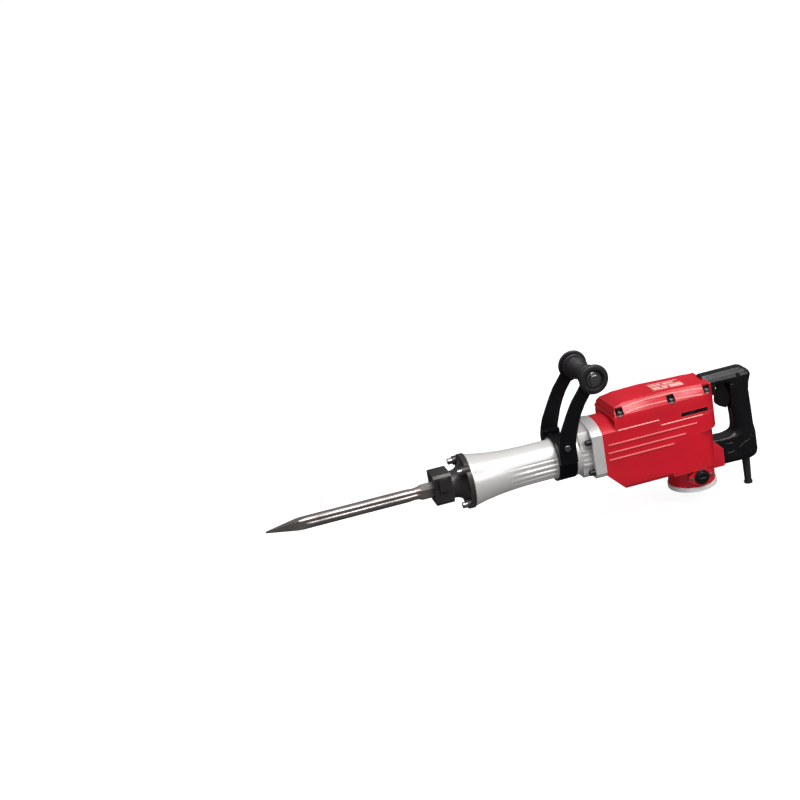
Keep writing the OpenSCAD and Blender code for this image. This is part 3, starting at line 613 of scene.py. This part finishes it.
def bolt_tree():
    """Socket-head bolts with washers, one on every point of the mesh."""
    tree, w, gin, gout = shape_tree("socket_bolts", [
        ("Head Radius", "v", 0.006), ("Head Height", "v", 0.01), ("Key Size", "v", 0.0035),
        ("Key Depth", "v", 0.005), ("Washer Radius", "v", 0.008), ("Washer Height", "v", 0.0015),
        ("Turn", "n", (0, 0, 0))])
    head = cylinder_node(w, gin["Head Radius"], gin["Head Height"], 28,
                         w.math("MULTIPLY", gin["Head Height"], 0.5))
    key = cylinder_node(w, gin["Key Size"], w.math("MULTIPLY", gin["Key Depth"], 2.0), 6,
                        gin["Head Height"])
    cut = w.add("GeometryNodeMeshBoolean", operation="DIFFERENCE")
    w.put(head, cut.inputs["Mesh 1"])
    w.put(key, cut.inputs["Mesh 2"])
    washer = cylinder_node(w, gin["Washer Radius"], gin["Washer Height"], 28,
                           w.math("MULTIPLY", gin["Washer Height"], 0.5))
    join = w.add("GeometryNodeJoinGeometry")
    w.put(cut.outputs["Mesh"], join.inputs[0])
    w.put(washer, join.inputs[0])
    scatter = w.add("GeometryNodeInstanceOnPoints")
    w.put(gin["Geometry"], scatter.inputs["Points"])
    w.put(join.outputs[0], scatter.inputs["Instance"])
    w.put(gin["Turn"], scatter.inputs["Rotation"])
    close_tree(w, scatter.outputs[0], gin, gout)
    return tree


def ridge_tree():
    """Raised line of half-round section along every path of edges."""
    tree, w, gin, gout = shape_tree("raised_lines", [("Radius", "v", 0.001), ("Spacing", "v", 0.003)])
    path = w.add("GeometryNodeMeshToCurve")
    w.put(gin["Geometry"], path.inputs["Mesh"])
    even = w.add("GeometryNodeResampleCurve", mode="LENGTH")
    w.put(path.outputs[0], even.inputs["Curve"])
    w.put(gin["Spacing"], even.inputs["Length"])
    ring = w.add("GeometryNodeCurvePrimitiveCircle")
    ring.inputs["Resolution"].default_value = 12
    w.put(gin["Radius"], ring.inputs["Radius"])
    sweep = w.add("GeometryNodeCurveToMesh")
    w.put(even.outputs[0], sweep.inputs["Curve"])
    w.put(ring.outputs[0], sweep.inputs["Profile Curve"])
    sweep.inputs["Fill Caps"].default_value = True
    close_tree(w, sweep.outputs[0], gin, gout)
    return tree


def flute_tree():
    """Sinks evenly turned flutes into a form lathed about the hammer axis."""
    tree, w, gin, gout = shape_tree("flutes", [
        ("Axis Height", "v", AXIS), ("Start", "v", -0.416), ("Full", "v", -0.335),
        ("End", "v", -0.2988), ("Step Degrees", "v", 16.0), ("Half Sweep", "v", 112.0),
        ("Depth", "v", 0.002), ("Inner", "v", 0.0395)])
    place = w.add("GeometryNodeInputPosition")
    part = w.add("ShaderNodeSeparateXYZ")
    w.put(place.outputs[0], part.inputs[0])
    x, y = part.outputs["X"], part.outputs["Y"]
    z = w.math("SUBTRACT", part.outputs["Z"], gin["Axis Height"])
    radius = w.math("SQRT", w.math("ADD", w.math("MULTIPLY", y, y), w.math("MULTIPLY", z, z)))
    down = w.math("MULTIPLY", z, -1.0)
    turn = w.math("DEGREES", w.math("ARCTAN2", y, down))
    steps = w.math("DIVIDE", turn, gin["Step Degrees"])
    wave = w.math("COSINE", w.math("RADIANS", w.math("MULTIPLY", steps, 360.0)))
    groove = w.ramp(wave, -0.85, 0.5)
    sweep = w.ramp(w.math("ABSOLUTE", turn), gin["Half Sweep"],
                   w.math("SUBTRACT", gin["Half Sweep"], 6.0))
    fade = w.ramp(x, gin["Start"], gin["Full"])
    stop = w.math("LESS_THAN", x, gin["End"])
    outside = w.math("GREATER_THAN", radius, gin["Inner"])
    depth = w.math("MULTIPLY", w.math("MULTIPLY", groove, sweep), w.math("MULTIPLY", fade, stop))
    depth = w.math("MULTIPLY", w.math("MULTIPLY", depth, outside), gin["Depth"])
    inward = w.math("DIVIDE", w.math("MULTIPLY", depth, -1.0), radius)
    shift = w.add("ShaderNodeCombineXYZ")
    w.put(w.math("MULTIPLY", y, inward), shift.inputs["Y"])
    w.put(w.math("MULTIPLY", z, inward), shift.inputs["Z"])
    move = w.add("GeometryNodeSetPosition")
    w.put(gin["Geometry"], move.inputs["Geometry"])
    w.put(shift.outputs[0], move.inputs["Offset"])
    close_tree(w, move.outputs[0], gin, gout)
    return tree


def grown(name, seed, tree, slot, **values):
    """Runs a Geometry Nodes tree over a seed mesh and keeps the plain result."""
    ids = {i.name: i.identifier for i in tree.interface.items_tree
           if i.item_type == "SOCKET" and i.in_out == "INPUT"}

    def build(obj):
        mod = obj.modifiers.new("grow", "NODES")
        mod.node_group = tree
        mod[ids["Material"]] = FINISH[slot]
        for label, value in values.items():
            mod[ids[label.replace("_", " ")]] = value
    return settled(name, seed, build)


def points_mesh(name, places):
    me = bpy.data.meshes.new(name)
    me.from_pydata([(x * MM, y * MM, z * MM + AXIS) for x, y, z in places], [], [])
    return me


def paths_mesh(name, paths):
    verts, edges = [], []
    for path in paths:
        first = len(verts)
        verts += [(x * MM, y * MM, z * MM + AXIS) for x, y, z in path]
        edges += [(i, i + 1) for i in range(first, len(verts) - 1)]
    me = bpy.data.meshes.new(name)
    me.from_pydata(verts, edges, [])
    return me


BOLTS, RIDGES, FLUTES = bolt_tree(), ridge_tree(), flute_tree()
WASHER_HEIGHT = 1.2


def bolt_set(node, places, head, height, key, washer, turn):
    """Bolts of one CAD node; radii and heights are in millimetres."""
    me = grown(node + "_look", points_mesh("seats", places), BOLTS, SLOT_OF[node],
               Head_Radius=head * MM, Head_Height=height * MM, Key_Size=key * MM,
               Key_Depth=height * 0.5 * MM, Washer_Radius=washer * MM,
               Washer_Height=WASHER_HEIGHT * MM, Turn=turn)
    obj = add_piece(node + "_look", me, node, stands_for=[node])
    round_edges(obj, 0.6, 2, 40)
    smooth(obj)


# ---- barrel and nose -----------------------------------------------------------------------------
X_NECK, X_FRONT, X_NOSE = -300.0, -480.0, -556.0      # along the hammer axis, in millimetres
NECK_R, FRONT_R = 43.9, 55.7                          # the CAD barrel's radii
WAIST_R = NECK_R - 3.3                                # the barrel behind its flare
FLARE = 3.2                                           # how late the barrel widens
BARREL_BORE, FRONT_BORE = 37.4, 45.3
COVER_BOLT_R = 50.8                                   # circle of the front cover's bolts
HALF_WIDTH = 57.0                                     # of the housing
POINT_SLOPE = math.tan(math.radians(7.42))            # of the chisel's ground flats
BAR_FLUTES = [math.radians(a) for a in (165, 255, 345, 75)]


def make_barrel():
    """Tapering barrel with sunk flutes and an open bore."""
    steps = 110
    outer = [(X_FRONT + (X_NECK - X_FRONT) * (1 - t), WAIST_R + (FRONT_R - WAIST_R) * t ** FLARE)
             for t in [1 - i / steps for i in range(steps + 1)]]
    outer = [(X_FRONT, FRONT_R - 1.4), (X_FRONT + 0.5, FRONT_R - 0.4)] + outer[1:]
    outer += [(-299, WAIST_R - 0.2), (-298.5, 43.2), (-258, 43.2)]
    inner = [(-258, BARREL_BORE), (-440, BARREL_BORE), (-440, FRONT_BORE), (X_FRONT, FRONT_BORE)]
    me = turned("barrel", outer + inner, steps=240, hollow=True)
    me = grown("cylinder_case_look", me, FLUTES, "silver_case", Depth=2.6 * MM)
    obj = add_piece("cylinder_case_look", me, "cylinder_case", stands_for=["cylinder_case"])
    smooth(obj, 35)


def make_chisel():
    """Fluted bar with a forged hex shank and four flats ground to the point."""
    tip, bar_end, hex_start = -903.0, X_NOSE - 34, X_NOSE - 22

    def section(x, turn):
        hexagon = 15 / math.cos((turn + math.pi / 6) % (math.pi / 3) - math.pi / 6)
        flute = sum(math.exp(-((math.remainder(turn - at, 2 * math.pi)) / 0.24) ** 2)
                    for at in BAR_FLUTES)
        bar = 14.0 - 2.1 * flute
        blend = min(1, max(0, (x - bar_end) / (hex_start - bar_end)))
        blend = blend * blend * (3 - 2 * blend)
        waist = -1.2 * math.exp(-((x - (X_NOSE - 40)) / 9) ** 2)
        whole = bar * (1 - blend) + hexagon * blend + waist * (1 - blend)
        flat = (1.5 + (x - tip) * POINT_SLOPE) / max(abs(math.cos(turn)), abs(math.sin(turn)))
        return min(whole, flat)

    xs = [tip + 0.8 * i for i in range(150)] + [tip + 120 + 227 * i / 110 for i in range(111)]
    xs += [-550 + 69 * i / 12 for i in range(13)]
    profile = [(xs[0], 0.0)] + [(x, 1.0) for x in xs] + [(xs[-1], 0.0)]
    me = turned("bar", profile, steps=144, shape=lambda x, t: section(x, t) - 1.0)
    me = carve(me, brick("notch", X_NOSE + 11, X_NOSE + 54, -20, 20, 12.9, 30))
    obj = add_piece("chisel_look", me, "chisel", stands_for=["chisel"])
    smooth(obj, 30)


make_barrel()
make_chisel()
refined("front_cover", 1.8)
refined("tool_retainer", 1.5)
FORWARD = (0, -math.pi / 2, 0)
ring = [(math.cos(math.radians(a)) * COVER_BOLT_R, math.sin(math.radians(a)) * COVER_BOLT_R)
        for a in (45, 135, 225, 315)]
bolt_set("front_cover_bolts", [(X_FRONT - 17, y, z) for y, z in ring], head=6.4, height=11, key=3.6,
         washer=8.6, turn=FORWARD)

# ---- gear case -----------------------------------------------------------------------------------
refined("gear_case", 1.6)
bolt_set("gear_case_bolts", [(-226, s * (HALF_WIDTH - 6.6), z) for s in (-1, 1) for z in (33, -33)],
         head=6.0, height=12, key=3.4, washer=7.0, turn=FORWARD)


# ---- red housing ---------------------------------------------------------------------------------
COVER_BOLTS = ((-158, 51.6), (-45, 51.6), (36, 46.5))
ROOF_SLOPE = math.atan(6 / 127)
WELL_FLOOR = 74          # height of the seats in the bolt pockets, above the hammer axis


refined("main_housing", 1.4)
refined("top_cover", 1.6)


def make_plate():
    """Plate on the roof with plain raised bars."""
    obj = add_piece("name_plate_look", healed("name_plate"), "name_plate", "red_paint", ["name_plate"])
    round_edges(obj, 0.3, 2)
    smooth(obj)
    bars = [(12, 44, -23, -19.5), (48, 78, -23, -19.5), (12, 30, -15, -9), (34, 47, -15, -9),
            (50, 79, -16, -8), (12, 79, -3, -1.5), (12, 38, 4, 8), (42, 66, 4, 8), (12, 79, 14, 15.5)]
    me = joined("bars", *[brick("bar", x0, x1, y0, y1, 0.6, 1.2) for x0, x1, y0, y1 in bars])
    me.transform(Matrix.Translation((0, 0, -AXIS)))
    me.transform(Matrix.Rotation(ROOF_SLOPE, 4, "Y"))
    me.transform(Matrix.Translation((-80 * MM, 0, 98 * MM + AXIS)))
    obj = add_piece("plate_bars", me, "name_plate")
    round_edges(obj, 0.2, 2)
    smooth(obj)


make_plate()
bolt_set("top_cover_bolts", [(x, s * y, WELL_FLOOR) for x, y in COVER_BOLTS for s in (-1, 1)],
         head=5.2, height=8, key=3.0, washer=6.6, turn=(0, 0, 0))


def side_y(z):
    """Half width of the top cover at a height."""
    knots = [(33, 56.1), (62, 56.1), (74, 55.6), (88, 46.2), (95, 38.2)]
    for (z0, y0), (z1, y1) in zip(knots, knots[1:]):
        if z <= z1:
            return y0 + (y1 - y0) * (z - z0) / (z1 - z0)
    return knots[-1][1]


def make_ridges():
    """Raised lines on the cover's slopes and the housing's sides, in a pale red finish that paints the highlight
    along them.
    """
    upper = [(-148, 87), (-125, 89.5), (-90, 91), (-40, 90.3), (0, 88), (24, 85.5)]
    lower_a = [(-146, 76.5), (-125, 79.5), (-95, 80.6), (-56, 80)]
    lower_b = [(-34, 79.2), (0, 77), (22, 75)]
    paths = []
    for line in (upper, lower_a, lower_b):
        for s in (-1, 1):
            paths.append([(x, s * (side_y(z) - 0.3), z) for x, z in line])
    me = grown("cover_ridges", paths_mesh("lines", paths), RIDGES, "red_line",
               Radius=1.3 * MM, Spacing=3 * MM)
    obj = add_piece("cover_ridges", me, "top_cover")
    dress(obj, "red_line")
    smooth(obj, 50)
    rails = []
    for s in (-1, 1):
        rails += [[(x, s * HALF_WIDTH, z) for x, z in line] for line in
                  ([(-192, 19), (2, 19)], [(-194, 2), (-25, 2)], [(-194, -13), (-53, -13)])]
        rails += [[(x, s * 56.4, z) for x, z in line] for line in
                  ([(-168, 45), (-79, 45)], [(-74, 33), (17, 33)])]
    me = grown("side_lines", paths_mesh("lines", rails), RIDGES, "red_line",
               Radius=1.25 * MM, Spacing=6 * MM)
    obj = add_piece("side_lines", me, "main_housing")
    dress(obj, "red_line")
    smooth(obj, 50)


def make_painted_shade_wells():
    """Black sheets that paint the shade inside the bolt pockets and behind the side vents, and the slats of the
    vents.
    """
    parts = []
    half = 8.4
    for x, y in COVER_BOLTS:
        parts.append(brick("floor", x - half, x + half, y - 7.9, min(y + 2.6, 48.6), 74.05, 74.5))
        parts.append(brick("back", x - half, x + half, y - 7.95, y - 7.4, 74.05, 88))
        if y > 50:
            wall = [(y - 7.9, 74.1), (y + 2.4, 74.1), (y - 6.4, 86.5), (y - 7.9, 88)]
            parts += [slab("wall", wall, x - 8.45, x - 8.0, "YZ"),
                      slab("wall", wall, x + 8.0, x + 8.45, "YZ")]
    # black plate behind the vent slot: painted shade inside the vent
    parts.append(brick("vent_back", -29.9, 31.4, 44.4, 45.6, 38.1, 46.9))
    for z in (40.6, 43.6):
        slat = [(45.5, z), (53.5, z - 1.6), (53.5, z - 0.6), (45.5, z + 1)]
        parts.append(slab("slat", slat, -29.9, 31.4, "YZ"))
    me = mirrored(joined("wells", *parts))
    obj = add_piece("dark_wells", me, "top_cover", "black_plastic")
    round_edges(obj, 0.12, 1)
    smooth(obj)


make_ridges()
make_painted_shade_wells()
refined("tail_cover", 1.2)
refined("brush_covers", 1.0)
refined("brush_cover_screws", 0.5)

# ---- side handle ---------------------------------------------------------------------------------
GRIP = (-205.6, 0, 166.0)


def make_side_grip():
    """Ringed grip with a collar at each end, two end discs and their washers."""
    collar = [(-52, 6.1), (-52, 24.5), (-51, 26), (-47.5, 26), (-46.3, 24.8), (-46, 20), (-43, 19.6),
              (-39, 21), (-37.5, 18.6), (-35, 17.6)]
    profile = list(collar)
    ring_pitch = 6.0
    for k in range(-5, 6):
        c = k * ring_pitch
        r = 16.6 + 0.035 * c * c / 6
        profile += [(c - 2.5, r - 0.7), (c - 1.6, r + 1.0), (c + 1.6, r + 1.0), (c + 2.5, r - 0.7)]
    profile += [(-a, r) for a, r in reversed(collar)]
    me = turned("spool", profile, "Y", GRIP, hollow=True)
    obj = add_piece("side_grip_look", me, "side_grip", stands_for=["side_grip"])
    round_edges(obj, 0.5, 2, 20)
    smooth(obj, 50)
    disc = eased([(58, 6.2, 0), (60.8, 6.2, 0), (60.8, 18.6, 0.5), (65.4, 19.6, 1.2), (66, 21.5, 1),
                  (65.8, 28, 2.5), (62.5, 31, 2.5), (59, 31, 1.5), (58, 28, 0.5)])
    me = turned("disc", disc, "Y", GRIP, hollow=True)
    mirrored(me)
    obj = add_piece("grip_discs_look", me, "grip_discs", stands_for=["grip_discs"])
    smooth(obj, 40)
    section = [(61, 6.4), (61, 14.5), (62.2, 15.2), (62.8, 14.5), (62.8, 6.4)]
    washer = turned("washer", section, "Y", GRIP, 64, hollow=True)
    mirrored(washer)
    smooth(add_piece("grip_washers", washer, "grip_bolt"), 40)


make_side_grip()
SIDE_HANDLE_EDGES = {"side_arms": 1.3, "clamp_band": 1.0, "grip_bolt": 1.0, "grip_nut": 1.0,
                     "band_bolts": 1.0}
for part, width in SIDE_HANDLE_EDGES.items():
    refined(part, width)


# ---- rear handle ---------------------------------------------------------------------------------
HANDLE_SCREWS = ((120, 85), (138.5, -52), (100, -86), (134, -90))


def step_up(lo, hi, value):
    """Smooth step from 0 to 1 between two places."""
    t = min(1, max(0, (value - lo) / (hi - lo)))
    return t * t * (3 - 2 * t)


def handle_share(x, z):
    """Share of the full half width of the handle: oval at the grip, narrower along its top and bottom."""
    grip = step_up(-50, -28, z) * (1 - step_up(44, 60, z)) * step_up(90, 98, x)
    oval = 0.4 + 0.56 * math.sqrt(1 - min(1, abs(x - 124.5 + 0.02 * z) / 23.5) ** 2)
    top, bottom = 1 - 0.42 * step_up(82, 98, z), 1 - 0.28 * step_up(98, 108, -z)
    return (1 - grip + grip * oval) * top * bottom


def make_handle():
    """Moulded handle: one outline, rounded all over, then cut for its trigger, button and screws."""
    opening = [(42, -44), (84, -46), (94, -44), (101, -38), (104, -28), (104.5, -10), (102.5, 9),
               (102, 20), (99.5, 73), (66.5, 74.4), (42, 74.4)]
    back = [(42, 98), (130.5, 98.5), (139.5, 95.5), (146.8, 88.5), (149.2, 80.5), (146.2, 71.5),
            (142.8, 62), (144.5, 32), (147, -10), (148, -75), (148.5, -87), (145.5, -96.5),
            (139.5, -103.5), (131, -107), (68, -106), (60, -85)]
    me = slab("handle", opening + back, -20.9, 20.9)

    def skin(obj):
        mod = obj.modifiers.new("skin", "REMESH")
        mod.mode, mod.voxel_size = "VOXEL", 1.5 * MM

    def soften(obj):
        soft = obj.modifiers.new("soften", "SMOOTH")
        soft.factor, soft.iterations = 0.5, 30
    me = settled("handle", me, skin)
    for v in me.vertices:
        v.co.y *= handle_share(v.co.x / MM, (v.co.z - AXIS) / MM)
    me = settled("handle", me, soften)
    tools = [brick("trigger_room", 88, 110.5, -8.8, 8.8, 10, 74),
             turned("button_room", [(-24, 0), (-24, 5.5), (-12, 5.5), (-12, 0)], "Y", (104, 0, 64), 40)]
    screw_room = [(-24, 0), (-24, 4.7), (-15, 4.7), (-15, 0)]
    tools += [turned("screw_room", screw_room, "Y", (x, 0, z), 40) for x, z in HANDLE_SCREWS]
    me = carve(me, *tools)
    obj = add_piece("rear_handle", me, "handle_shell_near",
                    stands_for=["handle_shell_near", "handle_shell_far"])
    smooth(obj, 38)
    ribs = []
    for s in (-1, 1):
        ribs += [[(76, s * 19.9, -58), (84, s * 19.9, -60.5), (93, s * 19.9, -60)],
                 [(78, s * 19.9, -80), (88, s * 19.9, -80.5), (94, s * 19.8, -79)],
                 [(106, s * 19.9, -74), (118, s * 19.9, -66), (131, s * 19.6, -62)]]
    # the ribs take the lighter black_cast finish, a painted highlight along them against the darker handle
    me = grown("handle_ribs", paths_mesh("lines", ribs), RIDGES, "black_cast",
               Radius=1.5 * MM, Spacing=2 * MM)
    obj = add_piece("handle_ribs", me, "handle_shell_near")
    dress(obj, "black_cast")
    smooth(obj, 50)


make_handle()
REAR_HANDLE_EDGES = {"handle_screws": 0.4, "handle_bracket": 0.8, "bracket_screws": 0.6,
                     "cord_guard": 0.8, "trigger": 2.4, "lock_button": 0.8}
for part, width in REAR_HANDLE_EDGES.items():
    refined(part, width)

# pieces without a look of their own keep the CAD mesh and get its finish
REMADE = {node for node in frame["nodes"] if bpy.data.objects.get(node + "_look")}
for part, cad in frame["nodes"].items():
    if part not in REMADE:
        dress(cad, SLOT_OF[part])
        smooth(cad)
